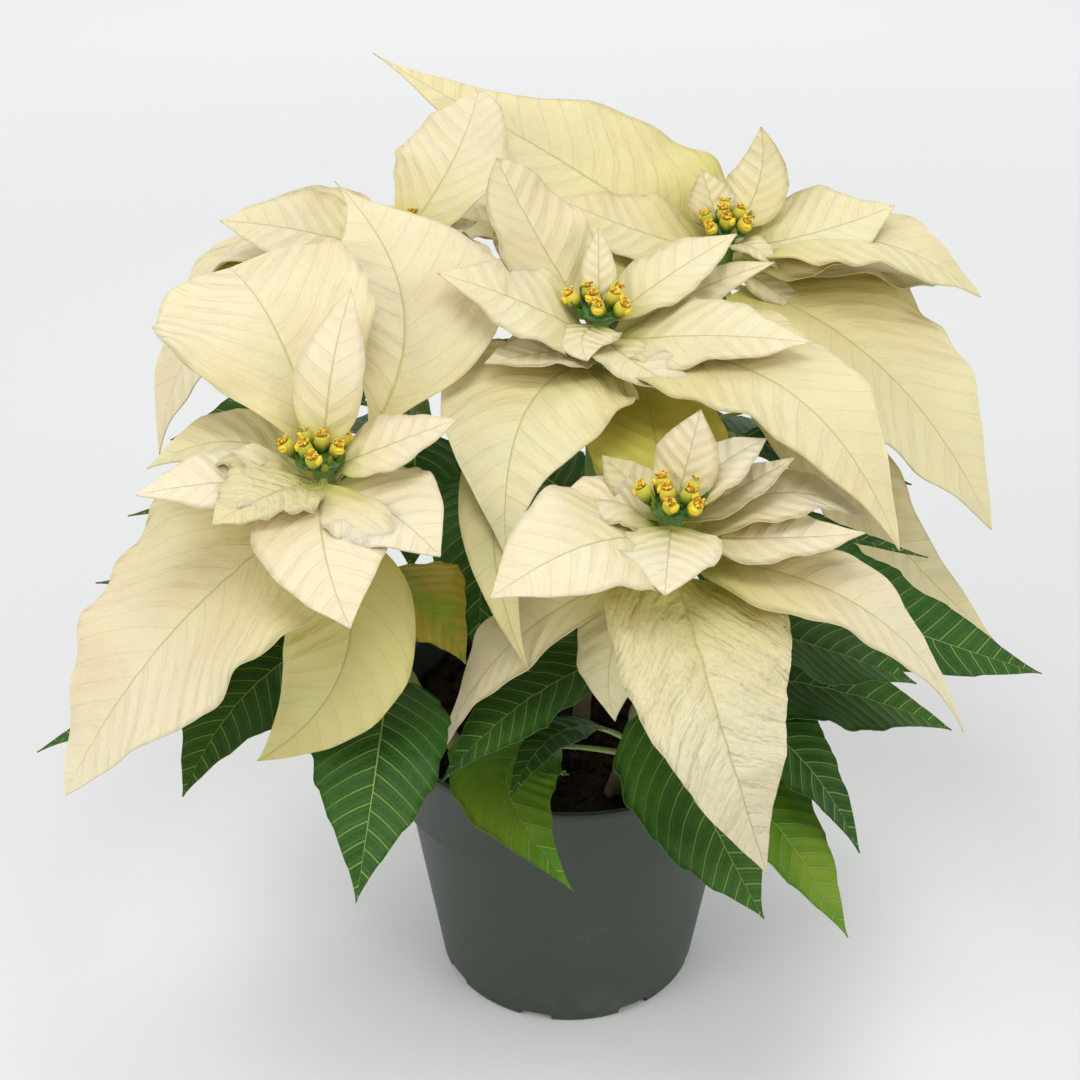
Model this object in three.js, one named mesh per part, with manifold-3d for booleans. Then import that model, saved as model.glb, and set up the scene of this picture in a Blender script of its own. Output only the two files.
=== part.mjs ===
// A poinsettia in its nursery pot: a plastic pot, the soil in it, six leafy canes, and on
// each cane a bloom of cream bracts round a cluster of small green cups (cyathia).
// Millimetres, +Z up. The origin is the middle of the pot's flat bottom, and -Y is the front.

import * as THREE from 'three';
import { mergeVertices } from 'three/addons/utils/BufferGeometryUtils.js';
import Module from 'manifold-3d';

const wasm = await Module();
wasm.setup();

// ---- Pot and soil ----
const POT_HEIGHT = 140;
const POT_FOOT_RADIUS = 59;
const POT_NECK_RADIUS = 74; // outer radius just under the collar
const COLLAR_BOTTOM = 104; // height where the collar band starts
const COLLAR_RADIUS = 80.5; // outer radius at the bottom of the collar
const POT_RIM_RADIUS = 82.5;
const POT_WALL = 1.8;
const POT_FLOOR = 2.2;
const POT_FACETS = 30;
const NOTCH_COUNT = 8;
const NOTCH_WIDTH = 15;
const NOTCH_HEIGHT = 4;
const NOTCH_TURN = 255; // degrees, so that one notch is just left of the front
const SOIL_LEVEL = 122;
const SOIL_CROWN = 4; // how much the soil rises in the middle
const GAP = 0.3; // clearance between pieces that touch

// ---- Canes ----
const CANE_RADIUS = 3.8;
const CANE_SIDES = 6;
const CANE_STEPS = 8;
const CANE_DEPTH = 25; // how far a cane stands in the soil
const CANE_LEAN = 0.85; // share of the lean that the cane makes in its lower part
const CANE_BEND = 0.42; // height of that bend, as a share of the cane's height
const NECK_RADIUS = 3.4; // the top of the cane, which carries the bracts
const NECK_LENGTH = 44;
const NECK_TOP = 5; // how far below the bloom's middle the neck ends

// ---- Blades ----
const BLADE_THICKNESS = 0.8;
const STALK_THICKENING = 1; // extra thickness where a blade is only a stalk
const STALK_HALF_WIDTH = 1.1;
const BRACT_STALK = 0.06; // share of a bract's length that is stalk
const LEAF_STALK = 0.2;
const RIPPLES = 2.5; // waves along a blade's edge
const RIPPLE_TURN = 1.7; // phase step from one blade to the next, radians
const RIPPLE_SIDE = 0.9; // phase between the two edges
const LEAF_TOOTH = 0.07; // depth of a leaf's teeth, as a share of its half width
const LEAF_STEPS = 7;
const BASE_REACH = 2.4; // distance of a blade's root from the cane's middle
const BRACT_FIRST = 6.5; // how far below the bloom's middle the topmost bract is rooted
const BRACT_PITCH = 2; // how much lower each next bract is rooted
const BLADE_FULL = 0.72; // how gradually a blade widens after its stalk
const BRACT_TAPER = 1.1; // how finely a bract comes to its point
const LEAF_TAPER = 1.3;
const BLADE_CUP = 0.1; // how far the edges stand above the midrib, as a share of the half width
const BLADE_RIPPLE = 0.035; // height of the waves in the edge, as a share of the width
const LONG_BRACT = 120;
const SHORT_BRACT = 64;

// ---- Cyathia ----
const CUP_COUNT = 7;
const CUP_SPREAD = 3.8; // distance of a cup from the middle, times the root of its turn
const CUP_HEIGHT = 10;
const CUP_RADIUS = 2.9;
const CUP_SIDES = 5;
const CUP_SPLAY = 3.4; // degrees of outward tilt for each millimetre from the middle
const CUSHION_RADIUS = 9.5; // the flat dome that the cups grow from
const CUSHION_HEIGHT = 3.5;

const COLOURS = {
  pot: 0x46514a,
  soil: 0x2b211a,
  leaf: 0x2f5c25,
  bract: 0xf1e8c2,
  cyathia: 0x8f9a2c,
};

// Each cane: where it stands in the soil and where the middle of its bloom is.
const CANES = {
  a: { root: [-22, -20], bloom: [-93, -95, 321] },
  b: { root: [14, -30], bloom: [35, -110, 310] },
  c: { root: [4, 2], bloom: [10, -15, 341] },
  d: { root: [26, 14], bloom: [65, 60, 341] },
  e: { root: [-20, 18], bloom: [-74, 50, 343] },
  f: { root: [4, 32], bloom: [0, 132, 318] },
};

// Bracts from the topmost down: the tip's offset from the bloom's middle (right, back, up), how far
// the midrib arches up and sways to its right, the width, the roll in degrees, and for some a taper
// and a fullness of their own.
const BRACTS = {
  a: [
    [[11, 40, 45], 8, 0, 27, 0],
    [[50, 5, 10], 2, 3, 26, 20],
    [[15, -70, -30], 5, 5, 50, 0],
    [[-35, -35, -10], 3, 0, 38, -5],
    [[45, -40, -20], 5, 0, 46, 10],
    [[-65, -15, -10], 5, -2, 36, -10],
    [[-1, 118, 54], 0, 28, 80, 0, 2.3, 2.9],
    [[-40, 85, 32], 20, 0, 84, -8, 0.6, 1.3],
    [[-66, 14, -16], 12, 10, 46, 0],
    [[-95, -55, -115], 12, 2, 106, 0, 0.95, 0.42],
    [[-25, -45, -107], 5, -27, 48, -30],
  ],
  b: [
    [[10, 20, 25], 0, 0, 26, 0],
    [[35, 25, 10], 5, 0, 26, 0],
    [[-5, -45, -12], 2, 0, 38, 0],
    [[45, 20, 5], 0, 0, 22, 0],
    [[-25, 30, 0], 2, 0, 24, 0],
    [[-45, 0, -8], 8, 4, 34, 0],
    [[70, 0, -15], 2, 5, 34, 0],
    [[-65, -50, -10], 12, -3, 56, -15],
    [[-8, 92, 0], 8, 0, 54, 0, 0.8],
    [[75, 25, -25], 16, -3, 40, 0],
    [[35, -60, -125], 34, 18, 68, 0, 1.2, 0.3],
    [[110, -20, -90], 26, 4, 52, 0, 1.2, 0.45],
    [[-20, -20, -85], 15, 2, 34, 0],
    [[-85, -10, -107], 18, -2, 44, 0, 1.2],
  ],
  c: [
    [[0, 25, 20], 0, 0, 14, 0],
    [[-5, -30, -10], 2, 4, 30, 0],
    [[55, 30, 15], 2, 0, 30, 10],
    [[-40, 35, 45], -2, 0, 48, 0, 0.8],
    [[40, -55, -15], 4, 7, 28, 0],
    [[-62, -12, 18], 5, -6, 44, -20],
    [[80, -25, -5], 6, 5, 44, 10],
    [[-44, -34, -9], 3, -3, 34, 0],
    [[70, 25, 5], 4, -2, 22, 20],
    [[-35, -95, -60], 20, 10, 76, 0, 1.45, 0.55],
    [[110, -85, -60], 30, -8, 74, 0, 1.1, 0.5],
    [[-27, -125, -86], 14, 24, 30, 0, 1.2],
  ],
  d: [
    [[15, 30, 30], -4, 5, 28, 0],
    [[-10, 20, 15], 0, 0, 24, 0],
    [[20, -20, -12], 6, 2, 16, 0],
    [[70, 5, 5], 0, 5, 50, 20],
    [[-70, 0, 10], 0, -4, 42, -20],
    [[35, -30, -30], 2, 2, 20, 0],
    [[105, -20, -25], 18, -2, 60, 0, 0.9],
    [[-150, 60, 48], 4, 2, 94, -16, 1.6, 0.35],
    [[25, 85, -45], 12, 0, 54, 0],
    [[120, 52, -60], 17, 0, 84, 0, 0.95],
    [[105, -90, -95], 27, 5, 92, 0, 1.05, 0.55],
    [[115, -78, -158], 0, 15, 60, 0, 1.2],
  ],
  e: [
    [[35, 5, 0], 3, 3, 22, 10],
    [[35, 50, 40], 4, 8, 50, 0, 0.8],
    [[45, -25, -15], 6, 0, 36, 0],
    [[-70, -5, 5], 5, -4, 42, -25],
    [[10, 75, -50], 12, 0, 44, 0],
    [[-60, 20, 0], 7, 2, 36, -20],
    [[-65, 70, -60], 15, 0, 62, 0],
    [[-98, -40, -85], 30, 10, 76, 0, 1.2],
    [[-100, 20, -60], 30, 0, 56, 0],
  ],
  f: [
    [[-20, -75, -10], 8, 0, 48, 0],
    [[45, 15, 5], 6, 0, 30, 0],
    [[-45, 15, 5], 6, 0, 30, 0],
    [[20, 60, 5], 8, 0, 38, 0],
    [[-25, 60, 0], 9, 0, 40, 0],
    [[85, 20, -20], 10, 0, 50, 0],
    [[-90, 15, -25], 10, 0, 50, 0],
    [[-5, 120, -50], 25, 0, 74, 0],
    [[80, 85, -40], 24, 0, 66, 0],
    [[-90, 75, -45], 22, 0, 70, 0],
  ],
};

// Leaves: the height at which each is rooted on its cane, the tip (right, back, up from the
// pot's foot), then arch, sway, width and roll as for the bracts.
const LEAVES = {
  a: [
    [262, [-41, -112, 238], 12, 0, 42, 0],
    [250, [-185, -75, 250], 2, 2, 24, 0],
    [235, [-145, -150, 205], 10, 8, 52, 0],
    [225, [-215, -85, 175], 10, -3, 30, 0],
    [215, [-80, -180, 180], 22, -4, 52, 0],
    [198, [-155, -50, 200], 15, 0, 44, 0],
  ],
  b: [
    [255, [132, -100, 220], 4, 0, 54, 0],
    [235, [-50, -135, 200], 13, -1, 38, 0],
    [225, [70, -172, 165], 18, 12, 58, 0],
    [218, [150, -90, 190], 8, -1, 58, 0],
    [215, [110, -135, 165], 16, -4, 38, 0],
    [190, [105, -155, 140], 17, 1, 44, 0],
    [170, [-25, -135, 190], 14, 8, 20, 0],
    [160, [0, -140, 150], 20, 38, 48, 0],
  ],
  c: [
    [285, [135, -80, 265], 0, 9, 20, 0],
    [250, [195, -45, 185], 8, 20, 58, 20],
    [250, [-35, -100, 228], 33, 13, 56, 0],
    [200, [-35, -108, 200], 4, -13, 30, 0],
    [238, [-38, 62, 228], 8, 0, 46, 0],
    [286, [-42, 20, 342], 8, 0, 34, 0],
  ],
  d: [
    [250, [148, 32, 230], 0, 2, 40, 0],
    [250, [170, 90, 205], 20, 0, 48, 0],
    [228, [125, 150, 165], 20, 0, 50, 0],
    [205, [155, 15, 160], 20, 0, 46, 0],
  ],
  e: [
    [270, [-160, -25, 285], 16, -13, 38, 0],
    [255, [-170, 80, 215], 20, 0, 48, 0],
    [250, [-175, -50, 265], 7, -17, 28, 0],
    [232, [-125, 150, 175], 20, 0, 50, 0],
    [208, [-170, 15, 150], 25, 0, 48, 0],
    [262, [-66, -30, 226], 8, 0, 44, 0],
  ],
  f: [
    [262, [-20, 255, 205], 25, 0, 52, 0],
    [240, [80, 235, 190], 25, 0, 50, 0],
    [225, [-95, 215, 170], 25, 0, 52, 0],
    [205, [10, 260, 140], 25, 0, 48, 0],
    [185, [100, 185, 125], 18, 0, 44, 0],
    [182, [-105, 160, 125], 18, 0, 44, 0],
  ],
};

const UP = new THREE.Vector3(0, 0, 1);
const radians = THREE.MathUtils.degToRad;

// ---- Solids ----

function solidOf(geometry) {
  const bare = geometry.index ? geometry.clone() : mergeVertices(geometry);
  bare.deleteAttribute('normal');
  bare.deleteAttribute('uv');
  const merged = mergeVertices(bare, 1e-4);
  return new wasm.Manifold(new wasm.Mesh({
    numProp: 3,
    vertProperties: new Float32Array(merged.attributes.position.array),
    triVerts: new Uint32Array(merged.index.array),
  }));
}

function geometryOf(solid) {
  const mesh = solid.getMesh();
  const geometry = new THREE.BufferGeometry();
  geometry.setAttribute('position', new THREE.BufferAttribute(new Float32Array(mesh.vertProperties), 3));
  geometry.setIndex(new THREE.BufferAttribute(new Uint32Array(mesh.triVerts), 1));
  geometry.computeVertexNormals();
  return geometry;
}

function union(solids) {
  return solids.reduce((whole, solid) => whole.add(solid));
}

// The piece of a solid that holds the most material, without loose scraps.
function largestPiece(solid) {
  const pieces = solid.decompose();
  return pieces.reduce((best, piece) => (piece.volume() > best.volume() ? piece : best));
}

function node(name, solid, colour, roughness) {
  const material = new THREE.MeshStandardMaterial({ color: colour, roughness, metalness: 0 });
  const mesh = new THREE.Mesh(geometryOf(largestPiece(solid)), material);
  mesh.name = name;
  return mesh;
}

// ---- Canes ----

// A stretch of another curve, so that a cane and its neck share one line.
class Stretch extends THREE.Curve {
  constructor(whole, from, to) {
    super();
    this.whole = whole;
    this.from = from;
    this.to = to;
  }

  getPoint(share, target = new THREE.Vector3()) {
    return this.whole.getPoint(THREE.MathUtils.lerp(this.from, this.to, share), target);
  }
}

function caneCurve({ root, bloom }) {
  const foot = new THREE.Vector3(...root, SOIL_LEVEL - CANE_DEPTH);
  const top = new THREE.Vector3(...bloom);
  const bend = new THREE.Vector3().lerpVectors(foot, top, CANE_LEAN);
  bend.z = THREE.MathUtils.lerp(SOIL_LEVEL, top.z, CANE_BEND);
  return new THREE.QuadraticBezierCurve3(foot, bend, top);
}

// The share along a cane at which it reaches a height.
function shareAtHeight(curve, height) {
  let low = 0;
  let high = 1;
  for (let step = 0; step < 40; step += 1) {
    const middle = (low + high) / 2;
    if (curve.getPoint(middle).z < height) low = middle;
    else high = middle;
  }
  return (low + high) / 2;
}

function tube(curve, from, to, radius, steps) {
  const section = new THREE.Shape();
  for (let side = 0; side < CANE_SIDES; side += 1) {
    const angle = (2 * Math.PI * side) / CANE_SIDES;
    const place = [radius * Math.cos(angle), radius * Math.sin(angle)];
    if (side === 0) section.moveTo(...place);
    else section.lineTo(...place);
  }
  section.closePath();
  const extrudePath = new Stretch(curve, from, to);
  return solidOf(new THREE.ExtrudeGeometry(section, { steps, extrudePath }));
}

// ---- Blades: bracts and leaves ----

// How wide a blade is along its length, from 0 to 1: it swells after its stalk and ends in a point.
function bladeWidth(share, { stalk, taper, full }) {
  const along = Math.max(0, (share - stalk) / (1 - stalk));
  const peak = full / (full + taper);
  const shape = (place) => place ** full * (1 - place) ** taper;
  return shape(along) / shape(peak);
}

// The line of a blade's midrib and the directions across it and out of its face at each share.
function bladeFrame({ base, tip, arch, sway, roll }) {
  const chord = tip.clone().sub(base).normalize();
  const right = chord.clone().cross(UP).normalize();
  const face = right.clone().cross(chord);
  const bow = face.clone().multiplyScalar(arch).addScaledVector(right, sway);
  const control = base.clone().add(tip).multiplyScalar(0.5).addScaledVector(bow, 2);
  const curve = new THREE.QuadraticBezierCurve3(base, control, tip);
  const hinge = bow.length() > 0.5 ? bow.clone().cross(chord).normalize() : right.clone();
  const alongHinge = face.dot(hinge);
  const acrossHinge = face.dot(hinge.clone().cross(chord));
  const turn = radians(roll);
  return (share) => {
    const start = control.clone().sub(base).multiplyScalar(1 - share);
    const tangent = start.addScaledVector(tip.clone().sub(control), share).normalize();
    const normal = hinge.clone().multiplyScalar(alongHinge);
    normal.addScaledVector(hinge.clone().cross(tangent), acrossHinge);
    const side = tangent.clone().cross(normal);
    const out = normal.clone().multiplyScalar(Math.cos(turn)).addScaledVector(side, Math.sin(turn));
    const across = side.multiplyScalar(Math.cos(turn)).addScaledVector(normal, -Math.sin(turn));
    return { point: curve.getPoint(share), across, out };
  };
}

// A thin curved blade: a grid of stations along the midrib, with the same triangles on both faces.
function bladeSolid(blade, swell = 0) {
  const { width, stalk, phase, tooth, steps } = blade;
  const columns = 2;
  const frameAt = bladeFrame(blade);
  const positions = [];
  for (let station = 0; station <= steps; station += 1) {
    const share = station / steps;
    const { point, across, out } = frameAt(share);
    const swelling = bladeWidth(share, blade);
    const teeth = 1 + tooth * Math.cos(Math.PI * station);
    const half = Math.max((swelling * width * teeth) / 2, STALK_HALF_WIDTH);
    const stalkShare = Math.max(0, 1 - share / stalk);
    const thickness = BLADE_THICKNESS + STALK_THICKENING * stalkShare + 2 * swell;
    for (const face of [1, -1]) {
      for (let column = 0; column <= columns; column += 1) {
        const q = (2 * column) / columns - 1;
        const reach = (half + swell) * q;
        const wave = Math.sin(2 * Math.PI * RIPPLES * share + phase + RIPPLE_SIDE * Math.sign(q));
        const ripple = BLADE_RIPPLE * width * wave * q * q * swelling;
        const lift = BLADE_CUP * half * Math.abs(q) + ripple;
        const place = point.clone().addScaledVector(across, reach);
        place.addScaledVector(out, lift + (face * thickness) / 2);
        positions.push(place.x, place.y, place.z);
      }
    }
  }
  const row = columns + 1;
  const at = (station, face, column) => (station * 2 + face) * row + column;
  const index = [];
  const quad = (a, b, c, d) => index.push(a, b, c, a, c, d);
  for (let station = 0; station < steps; station += 1) {
    const next = station + 1;
    for (let column = 0; column < columns; column += 1) {
      const [a, b] = [at(station, 0, column), at(station, 0, column + 1)];
      const [c, d] = [at(next, 0, column + 1), at(next, 0, column)];
      quad(a, b, c, d);
      index.push(a + row, c + row, b + row, a + row, d + row, c + row);
    }
    quad(at(station, 0, columns), at(station, 1, columns), at(next, 1, columns), at(next, 0, columns));
    quad(at(next, 0, 0), at(next, 1, 0), at(station, 1, 0), at(station, 0, 0));
  }
  for (let column = 0; column < columns; column += 1) {
    quad(at(0, 0, column + 1), at(0, 0, column), at(0, 1, column), at(0, 1, column + 1));
    quad(at(steps, 0, column), at(steps, 0, column + 1), at(steps, 1, column + 1), at(steps, 1, column));
  }
  const geometry = new THREE.BufferGeometry();
  geometry.setAttribute('position', new THREE.Float32BufferAttribute(positions, 3));
  geometry.setIndex(index);
  return solidOf(geometry);
}

// Stations along a bract, more on a long one.
function stationsFor(length) {
  if (length > LONG_BRACT) return 6;
  return length > SHORT_BRACT ? 5 : 4;
}

function bractBlades({ bloom, curve }, rows) {
  const middle = new THREE.Vector3(...bloom);
  return rows.map(([offset, arch, sway, width, roll, taper = BRACT_TAPER, full = BLADE_FULL], order) => {
    const tip = middle.clone().add(new THREE.Vector3(...offset));
    const base = curve.getPoint(shareAtHeight(curve, middle.z - BRACT_FIRST - BRACT_PITCH * order));
    const heading = new THREE.Vector3(tip.x - base.x, tip.y - base.y, 0).normalize();
    base.addScaledVector(heading, BASE_REACH);
    const line = { base, tip, arch, sway, width, roll, taper, full };
    const growth = { stalk: BRACT_STALK, tooth: 0, phase: RIPPLE_TURN * order };
    return { ...line, ...growth, steps: stationsFor(base.distanceTo(tip)) };
  });
}

function leafBlades({ curve }, rows) {
  return rows.map(([height, end, arch, sway, width, roll], order) => {
    const base = curve.getPoint(shareAtHeight(curve, height));
    const line = { base, tip: new THREE.Vector3(...end), arch, sway, width, roll };
    const form = { taper: LEAF_TAPER, full: BLADE_FULL };
    const growth = { stalk: LEAF_STALK, tooth: LEAF_TOOTH, phase: RIPPLE_TURN * order };
    return { ...line, ...form, ...growth, steps: LEAF_STEPS };
  });
}

// ---- Cyathia ----

function lathe(outline, sides) {
  const profile = outline.map(([r, z]) => new THREE.Vector2(r, z));
  const turned = new THREE.LatheGeometry(profile, sides);
  turned.rotateX(Math.PI / 2);
  return turned;
}

// One cup standing on its short stalk.
function cupGeometry() {
  const outline = [
    [0, 0],
    [0.45, 0],
    [1, 0.55],
    [0.7, 0.9],
    [0, 1],
  ];
  return lathe(outline.map(([r, z]) => [r * CUP_RADIUS, z * CUP_HEIGHT]), CUP_SIDES);
}

// A cluster of cups on a flat cushion, each tilted out from the middle of the bloom.
function cyathiaSolid([x, y, z]) {
  const cushion = [
    [0, 0],
    [CUSHION_RADIUS * 0.8, 0],
    [CUSHION_RADIUS, CUSHION_HEIGHT * 0.4],
    [0, CUSHION_HEIGHT],
  ];
  const solids = [solidOf(lathe(cushion, CUP_SIDES + 2))];
  const golden = Math.PI * (3 - Math.sqrt(5));
  for (let cup = 0; cup < CUP_COUNT; cup += 1) {
    const distance = CUP_SPREAD * Math.sqrt(cup + 0.3);
    const geometry = cupGeometry();
    geometry.rotateY(radians(CUP_SPLAY * distance));
    geometry.translate(distance * 0.85, 0, 0.8);
    geometry.rotateZ(golden * cup + x);
    solids.push(solidOf(geometry));
  }
  return union(solids).translate(x, y, z - NECK_TOP + GAP);
}

// ---- Pot and soil ----

function potSolid() {
  const innerFoot = POT_FOOT_RADIUS - POT_WALL;
  const innerNeck = POT_NECK_RADIUS - POT_WALL;
  const innerRim = POT_RIM_RADIUS - POT_WALL - 1;
  const body = solidOf(lathe([
    [0, 0],
    [POT_FOOT_RADIUS - 2, 0],
    [POT_FOOT_RADIUS, 2],
    [POT_NECK_RADIUS, COLLAR_BOTTOM - 2],
    [COLLAR_RADIUS, COLLAR_BOTTOM],
    [POT_RIM_RADIUS - 0.5, POT_HEIGHT - 4],
    [POT_RIM_RADIUS, POT_HEIGHT - 1],
    [POT_RIM_RADIUS - 1, POT_HEIGHT],
    [innerRim, POT_HEIGHT - 0.6],
    [COLLAR_RADIUS - POT_WALL, COLLAR_BOTTOM + 2],
    [innerNeck, COLLAR_BOTTOM],
    [innerFoot, POT_FLOOR],
    [0, POT_FLOOR],
  ], POT_FACETS));
  const notches = [];
  for (let notch = 0; notch < NOTCH_COUNT; notch += 1) {
    const box = new THREE.BoxGeometry(14, NOTCH_WIDTH, NOTCH_HEIGHT * 2);
    box.translate(POT_FOOT_RADIUS, 0, 0);
    box.rotateZ(radians(NOTCH_TURN + (360 * notch) / NOTCH_COUNT));
    notches.push(solidOf(box));
  }
  return body.subtract(union(notches));
}

function soilSolid(curves) {
  const innerFoot = POT_FOOT_RADIUS - POT_WALL - GAP;
  const innerNeck = POT_NECK_RADIUS - POT_WALL - GAP;
  const collar = COLLAR_RADIUS - POT_WALL - GAP;
  const filling = solidOf(lathe([
    [0, POT_FLOOR + GAP],
    [innerFoot - 1, POT_FLOOR + GAP],
    [innerNeck, COLLAR_BOTTOM + GAP],
    [collar, COLLAR_BOTTOM + 2 + GAP],
    [collar, SOIL_LEVEL - 1],
    [collar * 0.8, SOIL_LEVEL + SOIL_CROWN * 0.5],
    [collar * 0.4, SOIL_LEVEL + SOIL_CROWN * 0.2],
    [0, SOIL_LEVEL + SOIL_CROWN * 0.6],
  ], POT_FACETS));
  const holeRadius = (CANE_RADIUS + GAP) / Math.cos(Math.PI / CANE_SIDES);
  const holes = curves.map((curve) => {
    return tube(curve, -0.02, shareAtHeight(curve, SOIL_LEVEL + 3 * SOIL_CROWN), holeRadius, 2);
  });
  return filling.subtract(union(holes));
}

// ---- The plant ----

const plant = new THREE.Group();
const canes = Object.entries(CANES).map(([letter, cane]) => ({ ...cane, letter, curve: caneCurve(cane) }));

plant.add(node('pot', potSolid(), COLOURS.pot, 0.6));
plant.add(node('soil', soilSolid(canes.map((cane) => cane.curve)), COLOURS.soil, 0.95));

for (const cane of canes) {
  const { letter, bloom, curve } = cane;
  const neckStart = shareAtHeight(curve, bloom[2] - NECK_LENGTH);
  const stem = tube(curve, 0, neckStart - GAP / curve.getLength(), CANE_RADIUS, CANE_STEPS);
  const leaves = leafBlades(cane, LEAVES[letter]).map((blade) => bladeSolid(blade));
  plant.add(node(`leafy_stem_${letter}`, union([stem, ...leaves]), COLOURS.leaf, 0.45));

  const neckEnd = shareAtHeight(curve, bloom[2] - NECK_TOP);
  const neck = tube(curve, neckStart, neckEnd, NECK_RADIUS, 2);
  const roomForNeck = tube(curve, neckStart, neckEnd + GAP / curve.getLength(), NECK_RADIUS + GAP, 2);
  const blades = bractBlades(cane, BRACTS[letter]);
  const bracts = union([neck, ...blades.map((blade) => bladeSolid(blade))]);
  plant.add(node(`bracts_${letter}`, bracts, COLOURS.bract, 0.6));

  const clearance = union([roomForNeck, ...blades.map((blade) => bladeSolid(blade, GAP))]);
  const cyathia = cyathiaSolid(bloom).subtract(clearance);
  plant.add(node(`cyathia_${letter}`, cyathia, COLOURS.cyathia, 0.5));
}

export default plant;
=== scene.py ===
"""A white poinsettia in its nursery pot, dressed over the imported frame.

Lengths are millimetres until a piece is made, which turns them into metres. +Z is up, -Y is the
front, and the origin is the middle of the pot's flat bottom.
"""

import math

import bpy
import numpy as np
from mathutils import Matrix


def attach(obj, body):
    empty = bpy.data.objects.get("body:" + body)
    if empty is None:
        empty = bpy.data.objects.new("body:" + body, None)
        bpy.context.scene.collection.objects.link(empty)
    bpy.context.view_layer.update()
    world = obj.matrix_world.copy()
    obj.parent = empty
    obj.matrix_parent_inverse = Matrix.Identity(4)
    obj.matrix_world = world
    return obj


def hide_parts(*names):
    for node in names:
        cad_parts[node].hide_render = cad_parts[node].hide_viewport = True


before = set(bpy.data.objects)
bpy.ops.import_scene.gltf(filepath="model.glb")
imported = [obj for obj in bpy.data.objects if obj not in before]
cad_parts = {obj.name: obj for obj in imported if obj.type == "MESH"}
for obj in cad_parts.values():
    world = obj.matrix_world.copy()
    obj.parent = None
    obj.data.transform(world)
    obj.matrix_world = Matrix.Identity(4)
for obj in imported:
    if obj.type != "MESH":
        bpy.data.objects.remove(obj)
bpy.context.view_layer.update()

MM = 0.001
UP = np.array([0.0, 0.0, 1.0])
GOLDEN = math.pi * (3 - math.sqrt(5))

# ---- Pot and soil ----
POT_HEIGHT = 140
POT_FOOT_RADIUS = 59
POT_NECK_RADIUS = 74
COLLAR_BOTTOM = 104
COLLAR_RADIUS = 80.5
POT_RIM_RADIUS = 82.5
POT_WALL = 1.8
POT_FLOOR = 2.2
POT_SIDES = 160  # steps round the pot
NOTCH_COUNT = 8
NOTCH_WIDTH = 15
NOTCH_HEIGHT = 4
NOTCH_REACH = 7  # how far a notch is cut on each side of the foot's outline
NOTCH_TURN = 255  # degrees, so that one notch is just left of the front
SOIL_LEVEL = 122
SOIL_CROWN = 4  # how much the soil rises in the middle
SOIL_SIDES = 150
GAP = 0.3  # clearance between pieces that touch
CRUMBS = 520
CRUMB_SIZE = (0.8, 3.0)
CRUMB_ROWS = 7
CRUMB_SIDES = 9

# ---- Canes ----
CANE_RADIUS = 3.8
CANE_SIDES = 16
CANE_STEP = 3  # spacing of the rings along a cane
CANE_DEPTH = 25  # how far a cane stands in the soil
CANE_LEAN = 0.85  # share of the lean that the cane makes in its lower part
CANE_BEND = 0.42  # height of that bend, as a share of the cane's height
NECK_RADIUS = 3.4  # the top of the cane, which carries the bracts
NECK_LENGTH = 44
NECK_TOP = 5  # how far below the bloom's middle the neck ends

# ---- Blades ----
BLADE_THICKNESS = 0.5
BRACT_STALK = 0.06  # share of a bract's length that is stalk
LEAF_STALK = 0.2
STALK_RADIUS = 1.35
RIPPLES = 2.5  # waves along a blade's edge
RIPPLE_TURN = 1.7  # phase step from one blade to the next, radians
RIPPLE_SIDE = 0.9  # phase between the two edges
BASE_REACH = 2.4  # distance of a blade's root from the cane's middle
BRACT_FIRST = 6.5  # how far below the bloom's middle the topmost bract is rooted
BRACT_PITCH = 2  # how much lower each next bract is rooted
BLADE_FULL = 0.72  # how gradually a blade widens after its stalk
BRACT_TAPER = 1.1  # how finely a bract comes to its point
LEAF_TAPER = 1.3
BLADE_CUP = 0.1  # how far the edges stand above the midrib, as a share of the half width
BLADE_RIPPLE = 0.035  # height of the waves in the edge, as a share of the width
FINE_STEP = 2.3  # spacing of the points over a blade
RIB_CROWD = 0.35  # how close together they stand beside the midrib
LEAST_VEINS = 5  # side veins along a short blade
BRACT_VEIN_PITCH = 17  # length of blade for each further one
LEAF_VEIN_PITCH = 10
VEIN_SLANT = 0.55  # how far a side vein runs forward as it leaves the midrib
VEIN_CURVE = 0.10  # how it bends further forward towards the edge
VEIN_OFFSET = 0.4  # how much the veins of one side are set on from those of the other
EDGE_WOBBLE = 0.035
EDGE_RUFFLE = 0.014
RUFFLES = 6.3  # small frills along a blade's edge
RUFFLE_SIDE = 2.1  # phase between the frills of the two edges
LEAF_TEETH = 9
TOOTH_DEPTH = 0.075

# ---- Cyathia ----
CUP_COUNT = 7
SCALE_COUNT = 16  # small green scales that stand between the cups
CUP_SPREAD = 3.8
CUP_HEIGHT = 10
CUP_RADIUS = 2.9
CUP_SIDES = 18
CUP_SPLAY = 3.4  # degrees of outward tilt for each millimetre from the middle
CUSHION_RADIUS = 9.5
CUSHION_HEIGHT = 3.5
STAMENS = 16

# Each cane: where it stands in the soil and where the middle of its bloom is.
CANES = {
    "a": ((-22, -20), (-93, -95, 321)),
    "b": ((14, -30), (35, -110, 310)),
    "c": ((4, 2), (10, -15, 341)),
    "d": ((26, 14), (65, 60, 341)),
    "e": ((-20, 18), (-74, 50, 343)),
    "f": ((4, 32), (0, 132, 318)),
}

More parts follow.
